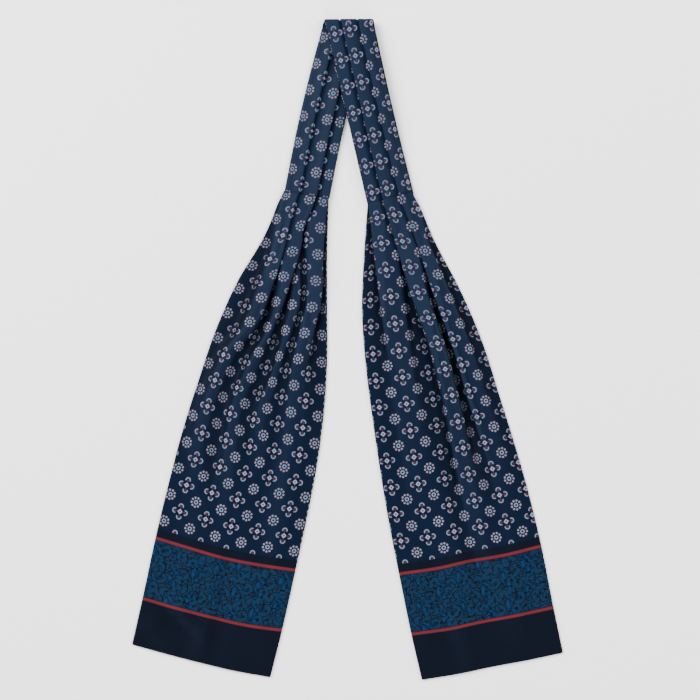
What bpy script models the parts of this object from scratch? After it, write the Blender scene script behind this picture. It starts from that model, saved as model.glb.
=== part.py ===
"""Silk cravat: a tube of printed silk, knife-pleated into a narrow neckband between two wide blades.

It is folded once at the middle of the neckband and laid flat. The front leg shows the face of the
silk and lies on the rear leg, which shows the reverse. Metres, +Z up. The origin is on the surface
it lies on, under the middle of its outline, and +Y points from the blades to the neck fold.
"""

import math

import bmesh
import bpy
import numpy as np

MM = 0.001
NAVY = (0.013, 0.034, 0.078)
SATIN_ROUGHNESS = 0.42
SHARP_ANGLE = math.radians(50.0)

# The cloth. All sizes and tables are in millimetres.
CLOTH_WIDTH = 138.6
WALL = 1.0
GAP = 0.3
PITCH = WALL + 0.4

# A blade is a tube laid flat: a flat back layer, and a face layer whose edges roll down round it.
FACE_BASE = WALL + GAP + WALL / 2
EDGE_ROLL = FACE_BASE - WALL / 2
ROLL_SLANT = 0.5
EDGE_INSET = EDGE_ROLL * ROLL_SLANT + WALL / 2
BACK_INSET = 2.0

# A pleat pressed flat turns over in an arc that sets its layers one PITCH apart. An open pleat is
# rounder, and the higher it stands the rounder it is.
FULL_TURN = math.radians(179.0)
LEAST_TURN = math.radians(1.0)
STRAIGHT = 0.0001
ARC_PER_HEIGHT = 0.5
ARC_ADDED = 0.8
CROWN = math.radians(22.0)
CROWN_SHARE = 0.6
STEEPEST_FALL = math.radians(80.0)
LEAST_GAP = 0.4
LEAST_CORNER = 0.8
LEAST_LAP = 0.6
LEAST_TAKE_UP = 0.02
LEAST_HEIGHT = 0.3

# The neckband: the crest of its fold, and the corners in plan where each leg meets its blade.
CREST_Y = 313.1
CREST_LEFT = -22.3
CREST_RIGHT = 22.6
FRONT_SEAM = {"left": (18.8, 137.4), "right": (61.1, 149.8)}
REAR_SEAM = {"left": (-59.9, 149.7), "right": (-16.9, 142.9)}

# How far the lowest wall of each leg's neckband is lifted, by share from the neck fold to the cross
# seam. The front leg lies on the rear leg, and both meet the face layer of their blades.
# columns: share, lift
STACK_HEIGHT = 6.9
FRONT_LIFTS = (
    (0.0, STACK_HEIGHT),
    (0.3, STACK_HEIGHT),
    (0.5, 6.0),
    (0.75, 2.4),
    (1.0, EDGE_ROLL),
)
REAR_LIFTS = ((0.0, 0.0), (0.8, 0.0), (1.0, EDGE_ROLL))

# A blade, by distance down its cloth from the cross seam.
# columns: down, middle x, middle y, width, tilt of the section in degrees
SECTION_COLUMNS = ("down", "x", "y", "width", "tilt")
FRONT_SECTIONS = (
    (0.0, 40.0, 143.3, 43.8, 16.4),
    (51.0, 49.4, 95.0, 69.6, 13.8),
    (102.0, 60.4, 47.0, 95.9, 13.0),
    (153.0, 72.0, -1.9, 112.7, 12.7),
    (204.0, 83.1, -51.4, 122.4, 12.3),
    (255.0, 94.5, -100.9, 130.6, 12.0),
    (306.0, 105.7, -150.6, 136.2, 11.7),
    (357.0, 116.6, -200.4, 138.2, 11.4),
    (408.0, 126.6, -250.5, 137.9, 11.1),
    (459.0, 137.5, -300.3, 136.9, 10.8),
)
REAR_SECTIONS = (
    (0.0, -39.3, 146.2, 43.6, -8.5),
    (51.0, -49.9, 97.4, 62.4, -10.0),
    (102.0, -62.8, 50.2, 88.8, -11.8),
    (153.0, -72.9, 1.5, 109.5, -12.0),
    (204.0, -82.6, -47.8, 123.3, -12.1),
    (255.0, -93.5, -97.2, 132.1, -12.3),
    (306.0, -104.9, -146.6, 135.9, -12.4),
    (357.0, -116.2, -196.1, 136.9, -12.6),
    (408.0, -127.0, -245.7, 136.5, -12.8),
    (459.0, -138.8, -295.4, 135.3, -12.9),
)

# A pleat is a rise, where the cloth turns back over itself, and a fall, where it comes down again.
# Places are measured across the cloth from the edge that lies undermost: the left edge on the
# front leg and the right edge on the rear leg. take_up is the cloth that the rise swallows.
# columns: name; then the places of rise and fall and the length of the fall, each at the seam and
# once open; then take_up and height at each distance of PLEAT_DOWN
PLEAT_DOWN = (0.0, 51.0, 102.0, 153.0, 204.0, 255.0, 306.0, 459.0)
PLEAT_COLUMNS = ("name", "rise", "fall", "fall_long", "take_up", "height")
FRONT_PLEATS = (
    (
        "edge_pleat", (18.5, 18.5), (41.0, 38.0), (10.0, 14.0),
        (24.2, 14.5, 5.7, 1.9, 0.8, 0.25, 0.1, 0.02),
        (2.8, 4.0, 4.6, 3.4, 2.6, 1.6, 0.9, 0.5),
    ),
    (
        "middle_pleat", (66.7, 71.0), (97.0, 96.0), (12.0, 17.0),
        (36.2, 29.0, 22.5, 13.8, 9.2, 4.0, 1.0, 0.04),
        (2.8, 4.8, 8.6, 10.0, 8.5, 6.2, 3.8, 0.6),
    ),
    (
        "outer_pleat", (114.4, 116.5), (131.0, 130.0), (8.0, 10.0),
        (32.7, 21.3, 7.0, 1.9, 0.8, 0.3, 0.1, 0.02),
        (2.8, 4.5, 4.8, 3.4, 2.4, 1.6, 0.9, 0.5),
    ),
)
REAR_PLEATS = (
    (
        "edge_pleat", (19.5, 20.0), (38.0, 38.5), (10.0, 11.0),
        (28.0, 23.0, 15.0, 4.2, 1.2, 0.4, 0.2, 0.02),
        (2.8, 4.4, 5.6, 5.2, 3.8, 2.4, 1.4, 0.5),
    ),
    (
        "slack_fold", (46.5, 47.0), (51.5, 63.5), (4.0, 11.0),
        (0.05, 0.4, 2.4, 2.8, 1.5, 0.6, 0.25, 0.02),
        (0.3, 1.2, 3.8, 4.8, 4.0, 2.8, 1.6, 0.5),
    ),
    (
        "middle_pleat", (66.8, 72.5), (97.0, 87.5), (12.0, 11.0),
        (36.5, 28.0, 10.0, 3.6, 1.8, 0.7, 0.3, 0.02),
        (2.8, 4.4, 6.4, 5.8, 4.6, 3.2, 1.9, 0.5),
    ),
    (
        "inner_pleat", (116.7, 96.5), (130.5, 114.0), (8.0, 13.0),
        (28.4, 20.5, 12.0, 4.6, 2.2, 0.9, 0.4, 0.02),
        (2.8, 4.2, 6.8, 6.4, 5.0, 3.6, 2.2, 0.5),
    ),
)
# By this distance down a blade, the rises and falls lie where the open cloth has them.
OPEN_BY = 130.0

# How finely the cloth is divided: steps in each kind of bend, and stations along the pieces.
BEND_STEPS = {"floor": 3, "turn": 3, "lap": 3, "top": 5, "bend": 2, "slope": 1}
BLADE_STATIONS = 13
STATION_SPREAD = 1.6

# How the pleats are drawn in to fit a width, and how their layers are piled up.
BISECTIONS = 40
SQUARING_ROUNDS = 10
SQUARING_SHARE = 0.8
WIDTH_GIVE = 3.0
LEAST_SCALE = 0.7
STACK_SLOPE = 0.6
PILE_STEP = 0.25
PILE_SHARES = 9
PILE_GIVE = 0.15

# The neck fold: its layers end a step short of the next one in, and its top rises by a pleat at
# each share of its width.
# columns of FOLD_PLEATS: share of the width where the pleat's edge lies, nose radius, top height
FOLD_LAYERS = 5
FOLD_STEP = 0.3
FOLD_RINGS = 13
FOLD_PLEATS = ((0.0, 6.3, 3.4), (0.33, 6.6, 4.7), (0.66, 6.9, 6.2))


def clear_scene():
    """Removes whatever the scene holds."""
    for old in list(bpy.data.objects):
        bpy.data.objects.remove(old, do_unlink=True)


def silk(name, colour, roughness):
    """One cloth material."""
    made = bpy.data.materials.new(name)
    made.use_nodes = True
    shader = made.node_tree.nodes["Principled BSDF"]
    shader.inputs["Base Color"].default_value = (*colour, 1.0)
    shader.inputs["Roughness"].default_value = roughness
    shader.inputs["Metallic"].default_value = 0.0
    return made


def smooth_value(place, places, values):
    """A curve without corners through a table's values (Catmull-Rom)."""
    last = len(places) - 1
    step = min(max(int(np.searchsorted(places, place, side="right")) - 1, 0), last - 1)
    run = places[step + 1] - places[step]
    share = (place - places[step]) / run
    slopes = []
    for at in (step, step + 1):
        before = max(at - 1, 0)
        after = min(at + 1, last)
        slopes.append((values[after] - values[before]) / (places[after] - places[before]) * run)
    a, b = values[step], values[step + 1]
    square = share * share
    cube = square * share
    return (
        (2 * cube - 3 * square + 1) * a
        + (cube - 2 * square + share) * slopes[0]
        + (3 * square - 2 * cube) * b
        + (cube - square) * slopes[1]
    )


def column(table, names, wanted):
    """One named column of a table."""
    return [row[names.index(wanted)] for row in table]


def bent(start, end, length):
    """(x, z) that cloth of this length covers while it bends evenly from one angle to another."""
    if abs(end - start) < STRAIGHT:
        return length * math.cos(start), length * math.sin(start)
    turn = (end - start) / length
    return (math.sin(end) - math.sin(start)) / turn, (math.cos(start) - math.cos(end)) / turn


def rise_shape(take_up, height):
    """(angle, arc, lap) of a rise: an arc up to the angle, a straight lap and an arc back."""
    steep = height / take_up
    most = (ARC_PER_HEIGHT * height + ARC_ADDED) * max(1.0, steep)
    low, high = LEAST_TURN, FULL_TURN
    for _ in range(BISECTIONS):
        angle = (low + high) / 2
        roundest = height * angle / 2 / (1 - math.cos(angle))
        arc = min(roundest, most)
        swallowed = arc - bent(0.0, angle, arc)[0]
        lap = (take_up - 2 * swallowed) / (1 - math.cos(angle))
        if lap < 0:
            high = angle
        elif lap * math.sin(angle) + 2 * bent(0.0, angle, arc)[1] > height:
            low = angle
        else:
            high = angle
    return angle, arc, max(lap, LEAST_LAP)


def fall_shape(crown, length, height):
    """(angle, arc) of a fall of this length of cloth, from the crown's slope down to the floor."""
    arc = length / 3
    low, high = crown, STEEPEST_FALL
    for _ in range(BISECTIONS):
        angle = (low + high) / 2
        drop = -bent(-crown, -angle, arc)[1] + arc * math.sin(angle) - bent(-angle, 0.0, arc)[1]
        if drop > height:
            high = angle
        else:
            low = angle
    return low, arc


def pleat_at(pleat, down):
    """A pleat's named values at a distance down the blade."""
    row = dict(zip(PLEAT_COLUMNS, pleat))
    opened = min(max(down / OPEN_BY, 0.0), 1.0)
    eased = opened * opened * (3 - 2 * opened)
    found = {}
    for name in ("rise", "fall", "fall_long"):
        seam, open_value = row[name]
        found[name] = seam + (open_value - seam) * eased
    found["take_up"] = max(smooth_value(down, PLEAT_DOWN, row["take_up"]), LEAST_TAKE_UP)
    found["height"] = max(smooth_value(down, PLEAT_DOWN, row["height"]), LEAST_HEIGHT)
    return found


def bends_of(pleats, down, scale):
    """The section as (place, angle, kind) corners, between which the cloth bends evenly."""
    bends = [(EDGE_INSET, 0.0, "floor")]
    for pleat in pleats:
        now = pleat_at(pleat, down)
        angle, arc, lap = rise_shape(now["take_up"] * scale, now["height"])
        crown = min(
            CROWN * min(now["height"] / now["take_up"], 1.0),
            CROWN_SHARE * angle,
            CROWN_SHARE * now["height"] / now["fall_long"],
        )
        start = max(now["rise"] - lap / 2 - arc, bends[-1][0] + LEAST_GAP)
        bends.append((start, 0.0, "floor"))
        bends.append((start + arc, angle, "turn"))
        bends.append((start + arc + lap, angle, "lap"))
        bends.append((start + 2 * arc + lap, crown, "turn"))
        height = bent(0.0, angle, arc)[1] + lap * math.sin(angle) + bent(angle, crown, arc)[1]
        angle, arc = fall_shape(crown, now["fall_long"], height)
        start = max(now["fall"] - now["fall_long"] / 2, bends[-1][0] + LEAST_GAP)
        bends.append((start, -crown, "top"))
        bends.append((start + arc, -angle, "bend"))
        bends.append((start + 2 * arc, -angle, "slope"))
        bends.append((start + 3 * arc, 0.0, "bend"))
    bends.append((max(CLOTH_WIDTH - EDGE_INSET, bends[-1][0] + LEAST_GAP), 0.0, "floor"))
    return bends


def walk(bends):
    """(points x and z, places, whether the stretch before each point is a turn) along the section."""
    points, places, turning = [(0.0, 0.0)], [bends[0][0]], [False]
    for (from_place, from_angle, _), (to_place, to_angle, kind) in zip(bends, bends[1:]):
        steps = BEND_STEPS[kind]
        length = (to_place - from_place) / steps
        turn = (to_angle - from_angle) / steps
        for step in range(steps):
            run, climb = bent(from_angle + turn * step, from_angle + turn * (step + 1), length)
            x, z = points[-1][0] + run, points[-1][1] + climb
            points.append((x, z))
            places.append(from_place + length * (step + 1))
            turning.append(kind == "turn")
    return np.array(points), np.array(places), np.array(turning)


def layered(points, places, turning):
    """The section with each layer lifted clear of the layers that it lies on.

    The layers are taken from the bottom up. Each adds its height to a pile kept along x, and the
    next is lifted where it would come nearer to that pile than one PITCH. Turns follow their ends.
    """
    x, z = points.T
    backwards = np.diff(x, prepend=-1.0) < 0
    layer = np.cumsum(np.diff(backwards, prepend=False))
    inside_turn = turning & np.append(turning[1:], False)
    across = np.arange(x.min() - PILE_STEP, x.max() + 2 * PILE_STEP, PILE_STEP)
    spread = STACK_SLOPE * np.abs(across[:, None] - across)
    pile = np.full(len(across), -np.inf)
    lift = np.zeros(len(x))
    known = np.zeros(len(x), bool)
    for number in range(layer.max() + 1):
        reach = (pile - spread).max(axis=1) + PITCH
        held = np.flatnonzero((layer == number) & ~inside_turn)
        known[held] = True
        lift[held] = np.maximum(np.interp(x[held], across, reach) - z[held], 0.0)
        straight = [at for at in held if at > 0 and not turning[at]]
        for at in straight:
            shares = np.linspace(0.0, 1.0, PILE_SHARES)
            on_x = x[at - 1] + (x[at] - x[at - 1]) * shares
            before, after = z[at - 1] + lift[at - 1], z[at] + lift[at]
            short = np.interp(on_x, across, reach) - before - (after - before) * shares
            lift[[at - 1, at]] += max(short.max() - PILE_GIVE, 0.0)
        raised = z + np.interp(places, places[known], lift[known])
        for at in straight:
            ends = sorted((at - 1, at), key=lambda end: x[end])
            over = (across >= x[ends[0]] - PILE_STEP) & (across <= x[ends[1]] + PILE_STEP)
            pile[over] = np.maximum(pile[over], np.interp(across[over], x[ends], raised[ends]))
    return np.column_stack([x, raised])


def section_at(pleats, down, width):
    """A section of the pleated cloth, x from 0 to width, with its pleats drawn in to fit."""
    scale = 1.0
    for _ in range(SQUARING_ROUNDS):
        points, places, turning = walk(bends_of(pleats, down, scale))
        swallowed = sum(pleat_at(pleat, down)["take_up"] for pleat in pleats) * scale
        scale *= 1 + (points[-1, 0] - width) / max(swallowed, WIDTH_GIVE) * SQUARING_SHARE
        scale = min(max(scale, LEAST_SCALE), 1 / LEAST_SCALE)
    points[:, 0] *= width / points[-1, 0]
    return layered(points, places, turning)


def wall_sides(section, roll):
    """Points above and below the middle of the wall, rolled down at both edges by roll."""
    x, z = section.T
    if roll > 0:
        step = roll * ROLL_SLANT
        x = np.concatenate([[x[0] - step], x, [x[-1] + step]])
        z = np.concatenate([[z[0] - roll], z, [z[-1] - roll]])
    points = np.stack([x, z], axis=1)
    run = np.diff(points, axis=0)
    run /= np.linalg.norm(run, axis=1)[:, None]
    along = np.concatenate([run[:1], run[:-1] + run[1:], run[-1:]])
    length = np.linalg.norm(along, axis=1)
    along /= length[:, None]
    corner = np.concatenate([[1.0], length[1:-1] / 2, [1.0]])
    normal = np.stack([-along[:, 1], along[:, 0]], axis=1)
    offset = normal * (WALL / 2 / np.maximum(corner, LEAST_CORNER))[:, None]
    return points + offset, points - offset


def inset_ends(left, right, under_left):
    """(start, end, width) of a section's middle line, clear of the outline by its rolled edge."""
    left, right = np.array(left), np.array(right)
    inset = (right - left) / np.linalg.norm(right - left) * EDGE_INSET
    ends = (left + inset, right - inset) if under_left else (right - inset, left + inset)
    return ends[0], ends[1], np.linalg.norm(ends[1] - ends[0])


def placed(points, start, end, width, lift):
    """Section points set out in plan from start to end."""
    plan = start + points[:, :1] * (end - start) / width
    return np.column_stack([plan, points[:, 1] + lift])


def finished(mesh, name, material):
    """The object of a closed mesh, its faces turned outward."""
    bmesh.ops.recalc_face_normals(mesh, faces=mesh.faces)
    data = bpy.data.meshes.new(name)
    mesh.to_mesh(data)
    mesh.free()
    data.shade_smooth()
    data.set_sharp_from_angle(angle=SHARP_ANGLE)
    made = bpy.data.objects.new(name, data)
    bpy.context.scene.collection.objects.link(made)
    data.materials.append(material)
    return made


def wall_mesh(name, upper, lower, material):
    """A closed wall between two grids of points, one row a section."""
    rows, wide = len(upper), len(upper[0])
    mesh = bmesh.new()
    top = [[mesh.verts.new(point * MM) for point in row] for row in upper]
    bottom = [[mesh.verts.new(point * MM) for point in row] for row in lower]
    for row in range(rows - 1):
        for at in range(wide - 1):
            mesh.faces.new((top[row][at], top[row][at + 1], top[row + 1][at + 1], top[row + 1][at]))
            mesh.faces.new(
                (bottom[row][at], bottom[row + 1][at], bottom[row + 1][at + 1], bottom[row][at + 1])
            )
        for at in (0, wide - 1):
            mesh.faces.new((top[row][at], top[row + 1][at], bottom[row + 1][at], bottom[row][at]))
    for row in (0, rows - 1):
        for at in range(wide - 1):
            mesh.faces.new((top[row][at], top[row][at + 1], bottom[row][at + 1], bottom[row][at]))
    return finished(mesh, name, material)


def blade_edges(sections, down):
    """The left and right ends of a blade's section in plan."""
    downs = column(sections, SECTION_COLUMNS, "down")
    x, y, width, tilt = (
        smooth_value(down, downs, column(sections, SECTION_COLUMNS, name))
        for name in ("x", "y", "width", "tilt")
    )
    half = np.array((math.cos(math.radians(tilt)), math.sin(math.radians(tilt)))) * width / 2
    middle = np.array((x, y))
    return middle - half, middle + half


def blade_face(name, sections, pleats, under_left, material):
    """The upper layer of a blade: pleated at the cross seam and opening out flat to the hem."""
    length = sections[-1][0]
    upper, lower = [], []
    for step in range(BLADE_STATIONS):
        share = step / (BLADE_STATIONS - 1)
        down = GAP + (length - GAP) * share ** STATION_SPREAD
        start, end, width = inset_ends(*blade_edges(sections, down), under_left)
        above, below = wall_sides(section_at(pleats, down, width), EDGE_ROLL)
        upper.append(placed(above, start, end, width, FACE_BASE))
        lower.append(placed(below, start, end, width, FACE_BASE))
    return wall_mesh(name, upper, lower, material)


def blade_back(name, sections, material):
    """The under layer of a blade, flat on the surface between the rolled edges of the face."""
    length = sections[-1][0]
    upper, lower = [], []
    for step in range(BLADE_STATIONS):
        down = GAP + (length - GAP) * (step / (BLADE_STATIONS - 1)) ** STATION_SPREAD
        left, right = blade_edges(sections, down)
        inset = (right - left) / np.linalg.norm(right - left) * BACK_INSET
        ends = np.array((left + inset, right - inset))
        upper.append(np.column_stack([ends, np.full(2, WALL)]))
        lower.append(np.column_stack([ends, np.zeros(2)]))
    return wall_mesh(name, upper, lower, material)


def band_corners(seam, y):
    """The left and right ends of a leg's first section, level in plan at y."""
    ends = {}
    for side, crest_x in (("left", CREST_LEFT), ("right", CREST_RIGHT)):
        share = (CREST_Y - y) / (CREST_Y - seam[side][1])
        ends[side] = (crest_x + (seam[side][0] - crest_x) * share, y)
    return ends


def neckband(name, seam, pleats, lifts, under_left, material):
    """One leg of the pleated neckband, straight from the neck fold to the cross seam."""
    upper, lower = [], []
    first = band_corners(seam, CREST_Y - STACK_HEIGHT - GAP)
    for share, lift in lifts:
        left, right = (
            np.array(first[side]) + (np.array(seam[side]) - np.array(first[side])) * share
            for side in ("left", "right")
        )
        start, end, width = inset_ends(left, right, under_left)
        above, below = wall_sides(section_at(pleats, 0.0, width), 0.0)
        upper.append(placed(above, start, end, width, lift + WALL / 2))
        lower.append(placed(below, start, end, width, lift + WALL / 2))
    return wall_mesh(name, upper, lower, material)


def fold_profile():
    """The neck fold's outer line as (share across, step in from the end, depth, pleat) points.

    Depth is the share of the radius: 0 on the axis and 1 at the outside.
    """
    left = []
    for layer in range(FOLD_LAYERS):
        for edge in (layer, layer + 1):
            left.append((layer * FOLD_STEP, edge / FOLD_LAYERS))
    last = len(FOLD_PLEATS) - 1
    profile = [(0.0, inset, depth, 0) for inset, depth in left]
    for pleat in range(1, last + 1):
        share = FOLD_PLEATS[pleat][0]
        profile += [(share, 0.0, 1.0, pleat - 1), (share, 0.0, 1.0, pleat)]
    return profile + [(1.0, -inset, depth, last) for inset, depth in reversed(left)]


def neck_fold(name, material):
    """The neckband's folded middle: all its layers turned over together as one rounded body."""
    axis_y, axis_z = CREST_Y - STACK_HEIGHT, STACK_HEIGHT - GAP / 2
    front, rear = (band_corners(seam, axis_y) for seam in (FRONT_SEAM, REAR_SEAM))
    profile = fold_profile()
    mesh = bmesh.new()
    rings = []
    for ring in range(FOLD_RINGS):
        turn = math.pi * (ring / (FOLD_RINGS - 1) - 0.5)
        points = []
        for share, inset, depth, pleat in profile:
            _, nose, height = FOLD_PLEATS[pleat]
            tall = height + STACK_HEIGHT - axis_z if turn > 0 else axis_z
            z = tall * math.sin(turn) * depth
            over = 0.5 + z / tall / 2
            ends = [
                rear[side][0] + (front[side][0] - rear[side][0]) * over
                for side in ("left", "right")
            ]
            x = ends[0] + (ends[1] - ends[0]) * share + inset
            points.append((x, axis_y + nose * math.cos(turn) * depth, axis_z + z))
        rings.append([mesh.verts.new(np.array(point) * MM) for point in points[1:-1]])
        tips = points[0], points[-1]
    tips = [mesh.verts.new(np.array(point) * MM) for point in tips]
    for one, other in zip(rings, rings[1:]):
        mesh.faces.new((tips[0], one[0], other[0]))
        mesh.faces.new((tips[1], other[-1], one[-1]))
        for at in range(len(one) - 1):
            mesh.faces.new((one[at], one[at + 1], other[at + 1], other[at]))
    mesh.faces.new([tips[0], *rings[0], tips[1], *reversed(rings[-1])])
    return finished(mesh, name, material)


def main():
    clear_scene()
    printed = silk("printed_silk", NAVY, SATIN_ROUGHNESS)
    blade_face("front_blade_face", FRONT_SECTIONS, FRONT_PLEATS, True, printed)
    blade_back("front_blade_back", FRONT_SECTIONS, printed)
    blade_face("rear_blade_face", REAR_SECTIONS, REAR_PLEATS, False, printed)
    blade_back("rear_blade_back", REAR_SECTIONS, printed)
    neckband("front_neckband", FRONT_SEAM, FRONT_PLEATS, FRONT_LIFTS, True, printed)
    neckband("rear_neckband", REAR_SEAM, REAR_PLEATS, REAR_LIFTS, False, printed)
    neck_fold("neck_fold", printed)


main()
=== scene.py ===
"""Dresses the silk cravat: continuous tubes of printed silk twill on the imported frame, and a stage.

Each leg is one tube of cloth from the neck fold to the hem. Its face is pleated at the cross seam
and opens out over a flat under layer. Cloth tables are in millimetres, everything else in metres.
"""

import math

import bpy
import numpy as np
from bpy.props import FloatProperty, FloatVectorProperty, PointerProperty
from numpy.linalg import norm
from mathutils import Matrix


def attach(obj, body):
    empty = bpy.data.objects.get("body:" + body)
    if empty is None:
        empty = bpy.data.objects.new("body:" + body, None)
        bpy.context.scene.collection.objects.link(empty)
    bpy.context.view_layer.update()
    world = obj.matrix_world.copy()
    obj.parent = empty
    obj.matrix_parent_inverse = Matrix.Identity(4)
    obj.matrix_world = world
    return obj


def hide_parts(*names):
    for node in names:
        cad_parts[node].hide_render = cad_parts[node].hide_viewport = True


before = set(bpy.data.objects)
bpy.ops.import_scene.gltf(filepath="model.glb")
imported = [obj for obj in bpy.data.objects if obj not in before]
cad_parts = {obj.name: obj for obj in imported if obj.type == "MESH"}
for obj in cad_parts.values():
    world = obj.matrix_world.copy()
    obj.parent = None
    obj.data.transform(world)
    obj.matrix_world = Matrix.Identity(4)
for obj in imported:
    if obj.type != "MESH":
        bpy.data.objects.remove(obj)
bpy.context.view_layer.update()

bl_info = {
    "name": "Silk cravat",
    "version": (1, 0, 0),
    "blender": (4, 5, 0),
    "location": "View3D > Sidebar > Cravat",
    "description": "Builds a printed silk cravat on its frame, with its stage",
    "category": "Object",
}

MM = 0.001

# The cloth's width laid flat, and the frame's layers.
CLOTH_WIDTH = 138.6
BLADE_LENGTH = 459.0
PITCH = 1.4
FACE_BASE = 1.8
EDGE_ROLL = 1.3
BLADE_INSET = 1.15
BAND_INSET = 0.55
HALF_TUBE = 0.45
SILK_THICKNESS = 0.3
REST_HEIGHT = 0.12
BAND_MIDDLE = 0.5

# The bounds of the bends in a pleat, and the least sizes that keep them apart.
FULL_TURN = math.radians(179.0)
LEAST_TURN = math.radians(1.0)
STRAIGHT = 0.0001
ARC_PER_HEIGHT = 0.5
ARC_ADDED = 0.8
CROWN = math.radians(22.0)
CROWN_SHARE = 0.6
STEEPEST_FALL = math.radians(80.0)
LEAST_GAP = 0.4
LEAST_LAP = 0.6
LEAST_TAKE_UP = 0.005
LEAST_HEIGHT = 0.03

CREST_Y = 313.1
CREST_LEFT = -22.3
CREST_RIGHT = 22.6
FRONT_SEAM = {"left": (18.8, 137.4), "right": (61.1, 149.8)}
REAR_SEAM = {"left": (-59.9, 149.7), "right": (-16.9, 142.9)}
STACK_HEIGHT = 6.9

# How far each leg's neckband is lifted, by share from the neck fold to the cross seam.
# columns: share, lift
FRONT_LIFTS = ((0.0, STACK_HEIGHT), (0.3, STACK_HEIGHT), (0.5, 6.0), (0.75, 2.4), (1.0, EDGE_ROLL))
REAR_LIFTS = ((0.0, 0.0), (0.8, 0.0), (1.0, EDGE_ROLL))

# How far the rows of the cloth hang below a straight section, at five shares of the width from the
# left. columns: distance down, then the five drops
FRONT_DROPS = (
    (0.0, 0.0, 0.0, 0.0, 0.0, 0.0),
    (30.0, -0.4, -0.8, 1.4, 3.6, 2.6),
    (130.0, 0.0, 2.4, 4.2, 3.8, 3.2),
    (240.0, 0.8, 3.2, 4.0, 4.0, 3.2),
    (355.0, 2.3, 4.3, 3.7, 4.5, 3.2),
    (413.0, 2.4, 4.3, 3.7, 4.1, 3.4),
    (459.0, 1.8, 3.1, 2.3, 2.6, 1.6),
)
REAR_DROPS = (
    (0.0, 0.0, 0.0, 0.0, 0.0, 0.0),
    (40.0, -2.5, 0.4, 1.5, 0.6, 0.0),
    (130.0, -3.2, 1.2, 2.8, 1.2, -0.8),
    (200.0, -2.6, 1.4, 2.8, 1.2, -0.4),
    (355.0, 1.0, 3.3, 5.4, 4.4, 2.0),
    (413.0, 1.5, 3.3, 4.5, 4.5, 1.7),
    (459.0, 1.0, 2.9, 4.0, 4.1, 2.0),
)
DROP_SHARES = (0.0, 0.25, 0.5, 0.75, 1.0)

# How far each edge of a neckband bows to the right at its middle.
FRONT_BOWS = {"left": 0.0, "right": -1.0}
REAR_BOWS = {"left": -2.1, "right": -2.1}

# The cross seam draws the cloth down into a groove, with rows of the mesh this far from it.
SEAM_ROWS = (2.4, 1.2, 0.6)
SEAM_HALF_WIDTH = 0.8
# Half the width of the painted shade along the seam's groove.
SEAM_SHADE_HALF = 0.45
SEAM_DEPTH = 0.14
PUCKER_HEIGHT = 0.18
PUCKER_LENGTH = 7.0
PUCKER_REACH = 5.0

# A blade, by distance down its cloth from the cross seam.
# columns: distance down, x, y, width, tilt in degrees
FRONT_SECTIONS = (
    (0.0, 40.0, 143.3, 43.8, 16.4),
    (51.0, 49.4, 95.0, 69.6, 13.8),
    (102.0, 60.4, 47.0, 95.9, 13.0),
    (153.0, 72.0, -1.9, 112.7, 12.7),
    (204.0, 83.1, -51.4, 122.4, 12.3),
    (255.0, 94.5, -100.9, 130.6, 12.0),
    (306.0, 105.7, -150.6, 136.2, 11.7),
    (357.0, 116.6, -200.4, 138.2, 11.4),
    (408.0, 126.6, -250.5, 137.9, 11.1),
    (459.0, 137.5, -300.3, 136.9, 10.8),
)
REAR_SECTIONS = (
    (0.0, -39.3, 146.2, 43.6, -8.5),
    (51.0, -49.9, 97.4, 62.4, -10.0),
    (102.0, -62.8, 50.2, 88.8, -11.8),
    (153.0, -72.9, 1.5, 109.5, -12.0),
    (204.0, -82.6, -47.8, 123.3, -12.1),
    (255.0, -93.5, -97.2, 132.1, -12.3),
    (306.0, -104.9, -146.6, 135.9, -12.4),
    (357.0, -116.2, -196.1, 136.9, -12.6),
    (408.0, -127.0, -245.7, 136.5, -12.8),
    (459.0, -138.8, -295.4, 135.3, -12.9),
)

# A pleat is a rise, where the cloth turns back over itself, and a fall, where it comes down again.
# columns: places of the rise and the fall, the fall's length, take-up, height; the first three at
# the seam and where the blade is open, the others at each of these distances down
PLEAT_DOWN = (0.0, 51.0, 102.0, 153.0, 204.0, 255.0, 306.0, 459.0)
FRONT_PLEATS = (
    (
        (21.4, 20.6), (52.0, 47.0), (12.0, 10.0),
        (28.4, 15.5, 4.1, 0.7, 0.4, 0.1, 0.05, 0.005),
        (2.8, 4.0, 4.6, 3.2, 2.2, 1.0, 0.5, 0.03),
    ),
    (
        (70.4, 71.6), (103.0, 95.2), (11.0, 12.7),
        (38.8, 30.4, 23.5, 14.1, 8.2, 4.0, 1.0, 0.005),
        (2.8, 4.8, 8.6, 10.0, 8.5, 6.0, 3.0, 0.03),
    ),
    (
        (117.4, 106.9), (134.0, 127.0), (7.0, 8.4),
        (30.4, 20.3, 6.5, 3.8, 2.6, 0.8, 0.1, 0.005),
        (2.8, 4.5, 4.8, 3.6, 2.6, 1.4, 0.5, 0.03),
    ),
)
REAR_PLEATS = (
    (
        (21.0, 18.0), (46.0, 38.6), (10.0, 7.5),
        (27.3, 22.1, 16.6, 3.6, 0.8, 0.4, 0.2, 0.005),
        (2.8, 4.4, 5.6, 5.6, 4.2, 2.6, 1.4, 0.03),
    ),
    (
        (53.0, 46.5), (55.5, 60.7), (3.0, 10.0),
        (0.05, 0.2, 1.6, 3.4, 1.5, 0.8, 0.25, 0.005),
        (0.3, 1.2, 3.8, 6.0, 5.4, 3.6, 1.8, 0.03),
    ),
    (
        (67.2, 71.1), (101.0, 84.0), (12.0, 12.5),
        (39.2, 26.2, 8.3, 3.0, 2.4, 1.0, 0.3, 0.005),
        (2.8, 4.4, 6.4, 6.8, 6.4, 4.6, 2.4, 0.03),
    ),
    (
        (115.0, 96.2), (133.5, 117.0), (7.0, 14.5),
        (28.3, 23.0, 9.9, 3.6, 2.8, 0.8, 0.4, 0.005),
        (2.8, 4.4, 6.8, 7.0, 6.4, 4.2, 2.2, 0.03),
    ),
)
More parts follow.
